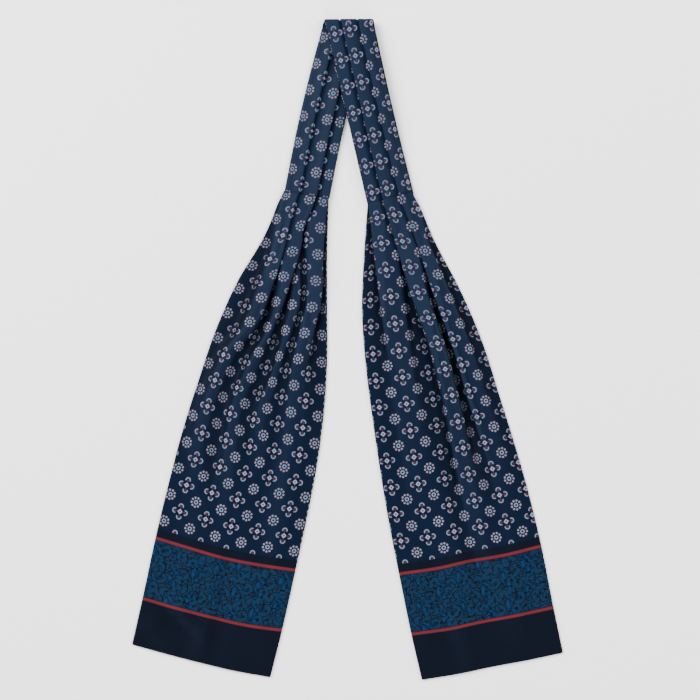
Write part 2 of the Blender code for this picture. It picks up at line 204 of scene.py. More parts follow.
OPEN_BY = 130.0

# How far the folds are drawn out soft as a blade opens, as a reach of cloth, and how much of their
# height is left, at each distance down.
SOFT_DOWN = (0.0, 51.0, 102.0, 153.0, 204.0, 255.0, 306.0, 380.0, 459.0)
FRONT_SOFT = (0.0, 0.0, 0.0, 0.4, 1.2, 2.6, 5.0, 9.0, 12.0)
REAR_SOFT = (0.0, 0.2, 1.4, 3.2, 4.4, 5.5, 7.0, 9.0, 12.0)
SOFT_SHARES = (1.0, 1.0, 1.0, 1.0, 1.0, 0.95, 0.8, 0.4, 0.25)
SOFT_STEP = 0.5
SOFT_TAILS = 3

CREASE_TAPER = 0.3

# Soft creases and waves left by wear, on each blade.
# columns: down and place where one starts, the same where it ends, half width, height
FRONT_CREASES = (
    (180.0, 18.0, 300.0, 34.0, 9.0, 0.6),
    (150.0, 96.0, 330.0, 84.0, 8.0, -0.8),
    (230.0, 62.0, 400.0, 72.0, 9.0, -1.3),
    (250.0, 112.0, 380.0, 106.0, 9.0, 0.8),
    (330.0, 100.0, 455.0, 92.0, 14.0, 0.8),
    (380.0, 40.0, 470.0, 46.0, 12.0, 0.8),
    (300.0, 30.0, 450.0, 20.0, 10.0, -0.6),
)
REAR_CREASES = (
    (402.0, 132.0, 442.0, 62.0, 6.0, 1.6),
    (428.0, 128.0, 456.0, 80.0, 8.0, -1.4),
    (330.0, 70.0, 470.0, 62.0, 7.0, -1.0),
    (200.0, 98.0, 330.0, 112.0, 9.0, -0.9),
    (180.0, 60.0, 350.0, 52.0, 9.0, -1.2),
    (240.0, 36.0, 360.0, 26.0, 10.0, 0.8),
    (150.0, 30.0, 300.0, 22.0, 7.0, -0.7),
)

# Each leg's tables. columns: sections, drops, softness, seam, bows, pleats, lifts, creases
FRONT_LEG = (
    FRONT_SECTIONS, FRONT_DROPS, FRONT_SOFT, FRONT_SEAM,
    FRONT_BOWS, FRONT_PLEATS, FRONT_LIFTS, FRONT_CREASES,
)
REAR_LEG = (
    REAR_SECTIONS, REAR_DROPS, REAR_SOFT, REAR_SEAM,
    REAR_BOWS, REAR_PLEATS, REAR_LIFTS, REAR_CREASES,
)

# Painted light and shade of the folds: how far round a point the cloth is compared, and the heights
# in it.
FOLD_REACH = 4.0
RIDGE_FULL = 1.2
HOLLOW_FROM = 0.5
HOLLOW_FULL = 2.5
WIDE_REACH = 13.0
WIDE_FULL = 1.1
WIDE_SHARE = 0.5

# How finely the cloth is divided: steps in each kind of bend, and rows along the pieces.
BEND_STEPS = {"floor": 7, "turn": 5, "lap": 4, "top": 9, "bend": 4, "slope": 2}
KEY_STATIONS = 26
STATION_SPREAD = 1.6
BLADE_ROWS = 84
ROW_SPREAD = 1.25
LEAST_ROW = 0.5
BAND_ROWS = 14
FOLD_ROWS = 14
ROLL_STEPS = 3

BISECTIONS = 40
SQUARING_ROUNDS = 10
SQUARING_SHARE = 0.8
WIDTH_GIVE = 3.0
LEAST_SCALE = 0.7
STACK_SLOPE = 0.6
PILE_STEP = 0.25
PILE_SHARES = 5
PILE_GIVE = 0.15

# The under layer leaves the pleats over this distance, and the hem is this round, with rows there.
UNDER_RELEASE = 18.0
HEM_ROUND = 1.4
HEM_ROWS = (0.75, 0.4, 0.15, 0.0)
LEAST_OPEN = 0.02

# The neck fold: how far it stands out, and how its upper side is read from the first ring.
NOSE_LEAST = 6.4
NOSE_MORE = 0.5
FOLD_ARM = 5.0
FOLD_SAMPLES = 180
FOLD_SAMPLE_REACH = 0.8
LEAST_CEILING = 0.9

# The print, in millimetres. Rows are measured up from the hem and columns from the left edge.
FLOWER_ROW = 109.5
ROW_PERIOD = 25.62
COLUMN_PERIOD = 25.75
FRONT_COLUMN = 8.1
REAR_COLUMN = 17.3
PRINT_SOFTNESS = 0.3
PETAL_OUT = 5.05
PETAL_RADIUS = 2.1
PETAL_STROKE = 0.5
PETAL_MOUTH = 0.36
STAMEN_RADIUS = 1.15
NECK_HALF = 0.5
NECK_MIDDLE = 3.3
NECK_LONG = 0.9
BLOSSOM_HALF = 2.3
EYE_RADIUS = 0.95
BLOSSOM_CORNER = 0.75
EYE_SOFTNESS = 0.5
FLOWER_SHADE = (7.2, 1.6, 0.5)
ROSETTE_DOTS = 9
DOTS_OUT = 4.25
DOT_RADIUS = 1.0
DOT_SOFTNESS = 0.25
ROSETTE_SHADE = (DOTS_OUT, 1.4, 0.7)
RING_RADIUS = 2.05
PUPIL_RADIUS = 1.05

# The border, from the hem up: plain cloth, a stripe, scrolls, a stripe and a plain strip.
LOWER_STRIPE = 45.75
UPPER_STRIPE = 104.45
STRIPE_HALF = 1.4
STRIPE_SHADE = 2.1
PRINT_CUT = 113.6
SCROLL_ACROSS = 21.0
SCROLL_RISE = 9.0
SCROLL_UP = 26.2
SCROLL_WOBBLE = 1.6
SCROLL_COLUMN = 4.6
SCROLL_ROW = 74.0

# One repeat of the scrolls as charted: arcs of a circle, and leaves.
# columns: across, up, radius, middle and half of the arc in degrees
SCROLL_ARCS = (
    (-2.5, 9.4, 2.9, 90.0, 115.0),
    (10.4, 6.9, 6.2, 262.0, 62.0),
    (12.9, 5.3, 3.1, 40.0, 110.0),
    (7.0, -5.6, 3.2, 60.0, 150.0),
    (5.6, 13.2, 2.4, 190.0, 125.0),
    (13.6, -8.9, 2.5, 290.0, 120.0),
)
# columns: across, up, lean to the right for each step up, half width, half length
SCROLL_LEAVES = (
    (0.0, 0.0, 0.12, 1.6, 4.8),
    (4.0, 5.4, -1.25, 1.2, 2.8),
    (4.2, -6.6, 0.3, 1.5, 1.8),
)
SCROLL_ECHO = 1.1
FAR_AWAY = 100.0

# The noises that the scrolls waver, cloud and speckle by. columns: scale, detail
SCROLL_NOISES = {"noise": (70.0, 2.0), "specks": (330.0, 1.0), "clouds": (150.0, 2.0)}

# How the scrolls are dyed, in order. columns: dye, distance, reach, softness
SCROLL_DYES = (
    ("scroll_body", "clouds", 0.45, 0.08),
    ("scroll_dark", "echo", 0.3, 0.25),
    ("scroll_line", "crest", 0.3, 0.2),
    ("scroll_body", "away", 0.7, 0.25),
    ("scroll_dark", "leaf", 1.25, 0.15),
    ("leaf", "leaf", 1.0, 0.25),
    ("speck", "specks", 0.36, 0.04),
)

# The dyes, as sRGB, with what each one colours; the last two are painted sheen and painted shade.
DYES_AND_PAINTED_LIGHT = {
    "ground": ("#051122", "Navy ground of the field"),
    "plain": ("#060b13", "Navy of the plain strips"),
    "petal": ("#6a788c", "Petals of the flower"),
    "stamen": ("#451a26", "Stamens of the flower"),
    "blossom": ("#8293a8", "Square blossom of the flower"),
    "eye": ("#14384f", "Eye of the blossom"),
    "dot": ("#7c7080", "Dots of the rosette"),
    "ring": ("#6a8094", "Ring of the rosette"),
    "pupil": ("#040c1a", "Middle of the rosette"),
    "shade": ("#06081a", "Shade that the dyes leave round a motif"),
    "stripe": ("#5e1f20", "Red stripes"),
    "scroll": ("#051d34", "Ground of the scrolls"),
    "scroll_dark": ("#020b16", "Dark lines of the scrolls"),
    "scroll_line": ("#15262f", "Pale lines of the scrolls"),
    "scroll_body": ("#052440", "Blue of the scrolls"),
    "leaf": ("#062a4c", "Leaves among the scrolls"),
    "speck": ("#06070a", "Dark specks among the scrolls"),
    # Painted sheen: paler silk on the ridges of the folds, where they catch the light.
    "worn": ("#1b2637", "Silk where a pressed fold has rubbed pale"),
    # Painted shade: near black deep in the folds and along the cross seam's groove.
    "deep": ("#010204", "Silk deep in a fold"),
}

# The silk's finish, and the painted sheen and shade of its folds. Real twill ribs lie 0.3 mm apart,
# and are drawn as coarse as they need to show.
TWILL_PITCH = 2.0
TWILL_DEPTH = 0.05
TWILL_STRENGTH = 0.25
TWILL_SHARE = 0.12
MOTTLE_SCALE = 45.0
MOTTLE_SHARE = 0.45
MOTTLE_DETAIL = 7.0
MOTTLE_FINE = 0.8
MOTTLE_RANGE = (0.3, 0.7)
# How strongly painted sheen is laid on the fold ridges and painted shade in their hollows.
PAINTED_SHEEN_SHARE = 0.4
HOLLOW_SHARE = 0.7
SATIN_ROUGHNESS = (0.5, 0.65)
SILK_SOCKETS = {
    "IOR": 1.5,
    "Specular IOR Level": 0.03,
    "Sheen Weight": 0.02,
    "Sheen Roughness": 0.35,
    "Sheen Tint": (0.6, 0.7, 0.9, 1.0),
}

# The stage. Matt paper gives the eye an even pale ground with no shine.
FLOOR_SIZE = 8.0
PAPER_COLOUR = "#f4f4f4"
PAPER_ROUGHNESS = 0.9
ROOM_COLOUR = "#ffffff"
CAMERA_PLACE = (0.0024, -0.0011)
SENSOR_WIDTH = 36.0

# A Mix node's colours come after these inputs, which are for numbers and vectors.
SKIPPED_MIX_INPUTS = (None,) * 5

# The lights. columns: name, place in metres, size in metres, share of the power
SOFTBOXES = (
    ("key_softbox", (-1.5, 1.2, 1.5), 1.6, 1.0),
    ("fill_softbox", (1.7, 0.6, 1.3), 1.5, 0.4),
    ("low_softbox", (0.2, -1.9, 1.3), 1.5, 0.3),
)


def step_at(place, places):
    """The step between two of a table's places that a place is in."""
    return min(max(int(np.searchsorted(places, place, side="right")) - 1, 0), len(places) - 2)


def smooth_value(place, places, values):
    """A curve without corners through a table's values (Catmull-Rom)."""
    last = len(places) - 1
    step = step_at(place, places)
    run = places[step + 1] - places[step]
    share = (place - places[step]) / run
    slopes = []
    for at in (step, step + 1):
        before = max(at - 1, 0)
        after = min(at + 1, last)
        slopes.append((values[after] - values[before]) / (places[after] - places[before]) * run)
    a, b = values[step], values[step + 1]
    square = share * share
    cube = square * share
    return (
        (2 * cube - 3 * square + 1) * a
        + (cube - 2 * square + share) * slopes[0]
        + (3 * square - 2 * cube) * b
        + (cube - square) * slopes[1]
    )


def eased(share):
    """A share from 0 to 1 that starts and ends gently."""
    share = np.clip(share, 0.0, 1.0)
    return share * share * (3 - 2 * share)


def bent(start, end, length):
    """(x, z) that cloth of this length covers while it bends evenly from one angle to another."""
    if abs(end - start) < STRAIGHT:
        return length * math.cos(start), length * math.sin(start)
    turn = (end - start) / length
    return (math.sin(end) - math.sin(start)) / turn, (math.cos(start) - math.cos(end)) / turn


def rise_shape(take_up, height):
    """(angle, arc, lap) of a rise: an arc up to the angle, a straight lap and an arc back."""
    steep = height / take_up
    most = (ARC_PER_HEIGHT * height + ARC_ADDED) * max(1.0, steep)
    low, high = LEAST_TURN, FULL_TURN
    for _ in range(BISECTIONS):
        angle = (low + high) / 2
        roundest = height * angle / 2 / (1 - math.cos(angle))
        arc = min(roundest, most)
        swallowed = arc - bent(0.0, angle, arc)[0]
        lap = (take_up - 2 * swallowed) / (1 - math.cos(angle))
        if lap < 0:
            high = angle
        elif lap * math.sin(angle) + 2 * bent(0.0, angle, arc)[1] > height:
            low = angle
        else:
            high = angle
    return angle, arc, max(lap, LEAST_LAP)


def fall_shape(crown, length, height):
    """(angle, arc) of a fall of this length of cloth, from the crown's slope down to the floor."""
    arc = length / 3
    low, high = crown, STEEPEST_FALL
    for _ in range(BISECTIONS):
        angle = (low + high) / 2
        drop = -bent(-crown, -angle, arc)[1] + arc * math.sin(angle) - bent(-angle, 0.0, arc)[1]
        if drop > height:
            high = angle
        else:
            low = angle
    return low, arc


def pleat_at(pleat, down):
    """(rise, fall, length of the fall, take-up, height) of a pleat at a distance down the blade."""
    opened = eased(down / OPEN_BY)
    rise, fall, fall_long = (seam + (wide - seam) * opened for seam, wide in pleat[:3])
    take_up, height = (smooth_value(down, PLEAT_DOWN, values) for values in pleat[3:])
    return rise, fall, fall_long, max(take_up, LEAST_TAKE_UP), max(height, LEAST_HEIGHT)


def bends_of(pleats, down, scale):
    """The section as (place, angle, kind) corners, between which the cloth bends evenly."""
    bends = [(BLADE_INSET, 0.0, "floor")]
    for pleat in pleats:
        rise, fall, fall_long, take_up, height = pleat_at(pleat, down)
        angle, arc, lap = rise_shape(take_up * scale, height)
        crown = min(
            CROWN * min(height / take_up, 1.0),
            CROWN_SHARE * angle,
            CROWN_SHARE * height / fall_long,
        )
        start = max(rise - lap / 2 - arc, bends[-1][0] + LEAST_GAP)
        bends += [
            (start, 0.0, "floor"),
            (start + arc, angle, "turn"),
            (start + arc + lap, angle, "lap"),
            (start + 2 * arc + lap, crown, "turn"),
        ]
        top = bent(0.0, angle, arc)[1] + lap * math.sin(angle) + bent(angle, crown, arc)[1]
        angle, arc = fall_shape(crown, fall_long, top)
        start = max(fall - fall_long / 2, bends[-1][0] + LEAST_GAP)
        bends += [
            (start, -crown, "top"),
            (start + arc, -angle, "bend"),
            (start + 2 * arc, -angle, "slope"),
            (start + 3 * arc, 0.0, "bend"),
        ]
    bends.append((max(CLOTH_WIDTH - BLADE_INSET, bends[-1][0] + LEAST_GAP), 0.0, "floor"))
    return bends


def walk(bends):
    """(points, places, whether the stretch before each point is a turn) along a section."""
    points, places, turning = [(0.0, 0.0)], [bends[0][0]], [False]
    for (from_place, from_angle, _), (to_place, to_angle, kind) in zip(bends, bends[1:]):
        steps = BEND_STEPS[kind]
        length = (to_place - from_place) / steps
        turn = (to_angle - from_angle) / steps
        for step in range(steps):
            run, climb = bent(from_angle + turn * step, from_angle + turn * (step + 1), length)
            points.append((points[-1][0] + run, points[-1][1] + climb))
            places.append(from_place + length * (step + 1))
            turning.append(kind == "turn")
    return np.array(points), np.array(places), np.array(turning)


def layered(points, places, turning):
    """The section with each layer lifted clear of the layers that it lies on."""
    x, z = points.T
    backwards = np.diff(x, prepend=-1.0) < 0
    layer = np.cumsum(np.diff(backwards, prepend=False))
    inside_turn = turning & np.append(turning[1:], False)
    across = np.arange(x.min() - PILE_STEP, x.max() + 2 * PILE_STEP, PILE_STEP)
    spread = STACK_SLOPE * np.abs(across[:, None] - across)
    pile = np.full(len(across), -np.inf)
    lift = np.zeros(len(x))
    known = np.zeros(len(x), bool)
    for number in range(layer.max() + 1):
        reach = (pile - spread).max(axis=1) + PITCH
        held = np.flatnonzero((layer == number) & ~inside_turn)
        known[held] = True
        lift[held] = np.maximum(np.interp(x[held], across, reach) - z[held], 0.0)
        straight = [at for at in held if at > 0 and not turning[at]]
        for at in straight:
            shares = np.linspace(0.0, 1.0, PILE_SHARES)
            on_x = x[at - 1] + (x[at] - x[at - 1]) * shares
            before, after = z[at - 1] + lift[at - 1], z[at] + lift[at]
            short = np.interp(on_x, across, reach) - before - (after - before) * shares
            lift[[at - 1, at]] += max(short.max() - PILE_GIVE, 0.0)
        raised = z + np.interp(places, places[known], lift[known])
        for at in straight:
            ends = sorted((at - 1, at), key=lambda end: x[end])
            over = (across >= x[ends[0]] - PILE_STEP) & (across <= x[ends[1]] + PILE_STEP)
            pile[over] = np.maximum(pile[over], np.interp(across[over], x[ends], raised[ends]))
    return np.column_stack([x, raised])


def section_at(pleats, down, width):
    """(points, places) of the pleated cloth, x from 0 to width, with its pleats drawn in to fit."""
    scale = 1.0
    for _ in range(SQUARING_ROUNDS):
        points, places, turning = walk(bends_of(pleats, down, scale))
        swallowed = sum(take_up for *_, take_up, _ in (pleat_at(p, down) for p in pleats)) * scale
        scale *= 1 + (points[-1, 0] - width) / max(swallowed, WIDTH_GIVE) * SQUARING_SHARE
        scale = min(max(scale, LEAST_SCALE), 1 / LEAST_SCALE)
    points[:, 0] *= width / points[-1, 0]
    return layered(points, places, turning), places


def inset_ends(left, right, under_left, inset):
    """(start, end, width) of a section's middle line, clear of the outline by its rolled edge."""
    left, right = np.array(left), np.array(right)
    step = (right - left) / norm(right - left) * inset
    ends = (left + step, right - step) if under_left else (right - step, left + step)
    return ends[0], ends[1], norm(ends[1] - ends[0])


def table_values(table, down):
    """Each column's value at a distance down, which is the table's first column."""
    downs, *columns = zip(*table)
    return [smooth_value(down, downs, values) for values in columns]


def blade_ends(sections, down, under_left):
    """(start, end, width) of a blade's middle line, whose inset grows from the neckband's."""
    x, y, width, tilt = table_values(sections, down)
    half = np.array((math.cos(math.radians(tilt)), math.sin(math.radians(tilt)))) * width / 2
    middle = np.array((x, y))
    inset = BAND_INSET + (BLADE_INSET - BAND_INSET) * float(eased(down / UNDER_RELEASE))
    return inset_ends(middle - half, middle + half, under_left, inset)


def band_corners(seam, y):
    """The left and right ends of a leg's first section, level in plan at y."""
    ends = {}
    for side, crest_x in (("left", CREST_LEFT), ("right", CREST_RIGHT)):
        share = (CREST_Y - y) / (CREST_Y - seam[side][1])
        ends[side] = (crest_x + (seam[side][0] - crest_x) * share, y)
    return ends


def band_rows(seam, bows, pleats, lifts, under_left):
    """A neckband leg's rows: (middle line points, places, distance above the hem)."""
    first = band_corners(seam, CREST_Y - STACK_HEIGHT)
    shares, heights = zip(*lifts)
    width = math.dist(seam["left"], seam["right"]) - 2 * BAND_INSET
    section, places = section_at(pleats, 0.0, width)
    rows = []
    length = math.dist(first["left"], seam["left"])
    steps = [step / BAND_ROWS for step in range(BAND_ROWS)]
    for share in steps + [1 - gap / length for gap in SEAM_ROWS]:
        bow = math.sin(math.pi * share)
        left, right = (
            np.array(first[side]) + (np.array(seam[side]) - np.array(first[side])) * share
            + np.array((bows[side] * bow, 0.0))
            for side in ("left", "right")
        )
        start, end, _ = inset_ends(left, right, under_left, BAND_INSET)
        lift = np.interp(share, shares, heights) + BAND_MIDDLE
        across = section[:, :1] / section[-1, 0]
        plan = start + across * (end - start)
        left_up = math.dist(left, seam["left"])
        right_up = math.dist(right, seam["right"])
        ends_up = (left_up, right_up) if under_left else (right_up, left_up)
        up = ends_up[0] + (ends_up[1] - ends_up[0]) * across[:, 0]
        rows.append((np.column_stack([plan, section[:, 1] + lift]), places, BLADE_LENGTH + up))
    return rows


def hung(plan, drops, down, left, right):
    """A row's places in plan, let down below its straight section."""
    width = norm(right - left)
    way = (right - left) / width
    amounts = table_values(drops, down)
    shares = np.clip((plan - left) @ way / width, 0.0, 1.0)
    amount = np.array([smooth_value(share, DROP_SHARES, amounts) for share in shares])
    return plan + amount[:, None] * np.array((way[1], -way[0]))


def softened(shape, reach, share):
    """A section, as x, z and place, with its folds drawn out over a reach of cloth."""
    if reach < SOFT_STEP / 2:
        return shape
    first, last = shape[0, 2], shape[-1, 2]
    even = np.arange(first - SOFT_TAILS * reach, last + SOFT_TAILS * reach, SOFT_STEP)
    straight = (shape[:, 2] - first) / (last - first)
    weights = np.exp(-(((shape[:, 2:] - even) / reach) ** 2) / 2)
    weights /= weights.sum(axis=1, keepdims=True)
    drawn = weights @ np.interp(even, shape[:, 2], shape[:, 0] - straight, left=0.0, right=0.0)
    drawn -= drawn[0] + (drawn[-1] - drawn[0]) * straight
    height = weights @ np.interp(even, shape[:, 2], shape[:, 1], left=0.0, right=0.0)
    return np.column_stack([straight + drawn, height * share, shape[:, 2]])


def blade_rows(sections, drops, soft, pleats, under_left):
    """A blade's rows: (middle line points, places, distance above the hem)."""
    keys = []
    for step in range(KEY_STATIONS):
        down = BLADE_LENGTH * (step / (KEY_STATIONS - 1)) ** STATION_SPREAD
        width = blade_ends(sections, down, under_left)[2]
        points, places = section_at(pleats, down, width)
        keys.append((down, np.column_stack([points[:, 0] / width, points[:, 1], places])))
    downs = np.array([down for down, _ in keys])
    shapes = np.array([shape for _, shape in keys])
    rows = []
    last = [BLADE_LENGTH - HEM_ROUND * part for part in HEM_ROWS]
    spaced = [
        (BLADE_LENGTH - HEM_ROUND) * (step / (BLADE_ROWS - 1)) ** ROW_SPREAD
        for step in range(BLADE_ROWS)
    ]
    after_seam = SEAM_ROWS[0] + LEAST_ROW
    spaced = [0.0, *reversed(SEAM_ROWS), *(down for down in spaced if down > after_seam)]
    for down in spaced + last:
        at = step_at(down, downs)
        share = (down - downs[at]) / (downs[at + 1] - downs[at])
        shape = softened(
            shapes[at] + (shapes[at + 1] - shapes[at]) * share,
            max(smooth_value(down, SOFT_DOWN, soft), 0.0),
            smooth_value(down, SOFT_DOWN, SOFT_SHARES),
        )
        start, end, _ = blade_ends(sections, down, under_left)
        left, right = (start, end) if under_left else (end, start)
        plan = hung(start + shape[:, :1] * (end - start), drops, down, left, right)
        points = np.column_stack([plan, shape[:, 1] + FACE_BASE])
        rows.append((points, shape[:, 2], np.full(len(points), BLADE_LENGTH - down)))
    return rows


def drawn_in(points, places, down):
    """The cloth pressed down into the cross seam's groove, with small puckers beside it."""
    low = points[:, :, 2].min(axis=1, keepdims=True)
    groove = np.exp(-((down / SEAM_HALF_WIDTH) ** 2))
    pucker = PUCKER_HEIGHT * np.sin(places * math.tau / PUCKER_LENGTH)
    pucker *= np.exp(-((down / PUCKER_REACH) ** 2)) * (1 - groove)
    points[:, :, 2] = low + (points[:, :, 2] - low) * (1 - SEAM_DEPTH * groove) + pucker
    return points


def creased(points, places, down, creases):
    """The cloth raised and lowered along its soft creases."""
    for from_down, from_place, to_down, to_place, half_width, height in creases:
        run = np.array((to_down - from_down, to_place - from_place))
        length = norm(run)
        along = ((down - from_down) * run[0] + (places - from_place) * run[1]) / length**2
        aside = ((down - from_down) * run[1] - (places - from_place) * run[0]) / length
        ends = eased(along / CREASE_TAPER) * eased((1 - along) / CREASE_TAPER)
        points[:, :, 2] += height * ends * np.exp(-((aside / half_width) ** 2))
    return points


def fold_shade(points):
    """Painted light and shade, a row a section: 1 on the ridges of the folds down to -1 deep beside
    them.
    """
    shades = []
    for row in points:
        way = row[-1, :2] - row[0, :2]
        x = (row[:, :2] - row[0, :2]) @ way / norm(way)
        z = row[:, 2]
        near = np.abs(x[:, None] - x) < FOLD_REACH
        top = np.where(near, z, -np.inf).max(axis=1)
        mean = np.where(near, z, 0.0).sum(axis=1) / near.sum(axis=1)
        ridge = np.clip((z - mean) / RIDGE_FULL, 0.0, 1.0)
        hollow = np.clip((top - z - HOLLOW_FROM) / HOLLOW_FULL, 0.0, 1.0)
        wide = np.exp(-(((x[:, None] - x) / WIDE_REACH) ** 2)) * np.gradient(x).clip(0.0)
        sunk = (wide @ z) / wide.sum(axis=1) - z
        hollow = np.maximum(hollow, WIDE_SHARE * np.clip(sunk / WIDE_FULL, 0.0, 1.0))
        ridge = np.maximum(ridge, WIDE_SHARE * np.clip(-sunk / WIDE_FULL, 0.0, 1.0))
        shades.append(ridge - hollow)
    return np.array(shades)


def main_grid(leg, under_left):
    """(points, places, distance above the hem) of a leg's middle line, a row a section."""
    sections, drops, soft, seam, bows, pleats, lifts, creases = leg
    rows = band_rows(seam, bows, pleats, lifts, under_left)
    rows += blade_rows(sections, drops, soft, pleats, under_left)
    points, places, height = (np.array(grid) for grid in zip(*rows))
    down = BLADE_LENGTH - height
    points = creased(drawn_in(points, places, down), places, down, creases)
    return points, places, height


def outward(points, upward):
    """The cloth's unit normals on a grid of points, on the side that shows."""
    run = np.diff(points, axis=1)
    run /= np.maximum(norm(run, axis=2, keepdims=True), STRAIGHT)
    along = np.concatenate([run[:, :1], run[:, :-1] + run[:, 1:], run[:, -1:]], axis=1)
    middle = points.mean(axis=1)
    down = np.gradient(middle, axis=0)
    down[:, 2] = 0.0
    normal = np.cross(down[:, None, :], along) * upward
    return normal / np.maximum(norm(normal, axis=2, keepdims=True), STRAIGHT)


def tube_rings(leg, under_left):
    """(rings, places, heights, shades) of a leg's outer surface, a closed ring a row."""
    points, places, height = main_grid(leg, under_left)
    upward = 1.0 if under_left else -1.0
    normal = outward(points, upward)
    face = points + normal * HALF_TUBE
    pressed = points - normal * HALF_TUBE
    start, end = points[:, :1, :2], points[:, -1:, :2]
    even = (places - places[:, :1]) / (places[:, -1:] - places[:, :1])
    flat_plan = start + even[:, :, None] * (end - start)
    flat = np.concatenate([flat_plan, np.full_like(places, REST_HEIGHT)[:, :, None]], axis=2)
    down = BLADE_LENGTH - height[:, :, None]
    freed = eased(down / UNDER_RELEASE)
    back = pressed + (flat - pressed) * freed
    to_hem = np.clip((down - BLADE_LENGTH + HEM_ROUND) / HEM_ROUND, 0.0, 1.0)
    middle = (face + back) / 2
    open_share = np.sqrt(np.maximum(1 - to_hem**2, LEAST_OPEN))
    face = middle + (face - middle) * open_share
    back = middle + (back - middle) * open_share
    shades = np.pad(fold_shade(face), ((0, 0), (0, places.shape[1] + 2 * ROLL_STEPS)))
    far = 2 * CLOTH_WIDTH
    roll = np.linspace(0.0, 1.0, ROLL_STEPS + 2)[1:-1]
    rings, ring_places = [], []
    for over, under, place in zip(face, back, places):
        last, first = place[-1], place[0]
        rings.append(np.concatenate([
            over, edge_roll(over, under, -1), under[::-1], edge_roll(under, over, 0),
        ]))
        ring_places.append(np.concatenate([
            place, last + (far - 2 * last) * roll,
            far - place[::-1], far - first + 2 * first * roll,
        ]))
    ends_up = [np.repeat(height[:, at:at + 1 or None], ROLL_STEPS, axis=1) for at in (-1, 0)]
    heights = np.concatenate([height, ends_up[0], height[:, ::-1], ends_up[1]], axis=1)
    return np.array(rings), np.array(ring_places), heights, shades


def edge_roll(upper, lower, at):
    """The points of a folded edge, half round from one layer to the other."""
    inner = -2 if at == -1 else 1
    away = upper[at, :2] - upper[inner, :2]
    away /= norm(away)
    middle = (upper[at] + lower[at]) / 2
    half = upper[at] - middle
    turn = math.pi * np.arange(1, ROLL_STEPS + 1)[:, None] / (ROLL_STEPS + 1)
    return middle + half * np.cos(turn) + np.array([*away, 0.0]) * abs(half[2]) * np.sin(turn)


def fold_rings(ring, height):
    """Rings of the neck fold: the first ring of the front neckband turned over its rear half."""
    axis_y = CREST_Y - STACK_HEIGHT
    x, z = ring[:, 0], ring[:, 2] - STACK_HEIGHT
    across = np.linspace(x.min(), x.max(), FOLD_SAMPLES)
    top = np.array([
        z[np.abs(x - place) < FOLD_SAMPLE_REACH].max(initial=LEAST_CEILING) for place in across
    ])
    ceiling = np.interp(x, across, top)
    depth = np.maximum(ceiling - z, 0.0)
    share = (x - x.min()) / (x.max() - x.min())
    nose = NOSE_LEAST + NOSE_MORE * share
    front = band_corners(FRONT_SEAM, axis_y)
    rear = band_corners(REAR_SEAM, axis_y)
    rings, heights = [], []
    for step in range(FOLD_ROWS):
        turn = math.pi * (step / FOLD_ROWS - 0.5)
        tall = ceiling if turn > 0 else np.full(len(x), STACK_HEIGHT - REST_HEIGHT)
        over = 0.5 + math.sin(turn) / 2
        shift = (rear["left"][0] - front["left"][0]) * (1 - over)
        rings.append(np.column_stack([
            x + shift,
            axis_y + (nose - depth) * math.cos(turn),
            STACK_HEIGHT + (tall - depth) * math.sin(turn),
        ]))
        heights.append(height + FOLD_ARM * (math.pi / 2 - turn))
    return rings, heights


def cloth_tube(name, rings, places, heights, shades, column_start, upward):
    """The mesh of a tube from its rings, closed at the hem, with its place in the cloth as UVs."""
    rows, wide = rings.shape[:2]
    corners, uvs = [], []
    turned = slice(None, None, -1 if upward else 1)
    along = places if upward else CLOTH_WIDTH - places
    end = np.full((rows, 1), 2 * CLOTH_WIDTH if upward else -CLOTH_WIDTH)
    wrap = np.concatenate([along, end], axis=1) - column_start
    for row in range(rows - 1):
        for at in range(wide):
            quad = [(row, at), (row, at + 1), (row + 1, at + 1), (row + 1, at)][turned]
            corners.append([r * wide + c % wide for r, c in quad])
            uvs += [(wrap[r, c] * MM, heights[r, c % wide] * MM) for r, c in quad]
    count = (wide - 2 * ROLL_STEPS) // 2
    last = rows - 1
    for face_at in range(-(ROLL_STEPS // 2) - 1, count + ROLL_STEPS // 2):
        back_at = 2 * count + ROLL_STEPS - 1 - face_at
        quad = [at % wide for at in (face_at, face_at + 1, back_at - 1, back_at)]
        quad = list(dict.fromkeys(quad))[turned]
        if len(quad) < 3:
            continue
        corners.append([last * wide + at for at in quad])
        uvs += [(wrap[last, at] * MM, heights[last, at] * MM) for at in quad]
    data = bpy.data.meshes.new(name)
    data.from_pydata((rings * MM).reshape(-1, 3).tolist(), [], corners)
    layer = data.uv_layers.new(name="cloth")
    layer.data.foreach_set("uv", np.array(uvs).ravel())
    # The fold attribute holds the painted light and shade of the folds.
    data.attributes.new("fold", "FLOAT", "POINT").data.foreach_set("value", shades.ravel())
    data.validate()
    data.shade_smooth()
    made = bpy.data.objects.new(name, data)
    bpy.context.scene.collection.objects.link(made)
    return made


def thickened(piece, thickness):
    """Gives the cloth its thickness inwards."""
    for other in bpy.context.selected_objects:
        other.select_set(False)
    piece.select_set(True)
    bpy.context.view_layer.objects.active = piece
    shell = piece.modifiers.new("cloth_thickness", "SOLIDIFY")
    shell.thickness = thickness
    shell.offset = -1.0
    bpy.ops.object.modifier_apply(modifier=shell.name)
    return piece


def linear(hex_colour):
    """The linear RGBA of an sRGB hex colour."""
    values = [int(hex_colour[at:at + 2], 16) / 255 for at in (1, 3, 5)]
    return (*(v / 12.92 if v <= 0.04045 else ((v + 0.055) / 1.055) ** 2.4 for v in values), 1.0)


def add_node(tree, kind, *inputs, **settings):
    """Adds a node. An input is a value, a socket, or a node whose first output is taken."""
    made = tree.nodes.new("ShaderNode" + kind)
    for name, value in settings.items():
        setattr(made, name, value)
    for at, value in enumerate(inputs):
        if isinstance(value, bpy.types.Node):
            value = value.outputs[0]
        if isinstance(value, bpy.types.NodeSocket):
            tree.links.new(value, made.inputs[at])
        elif value is not None:
            made.inputs[at].default_value = value
    return made


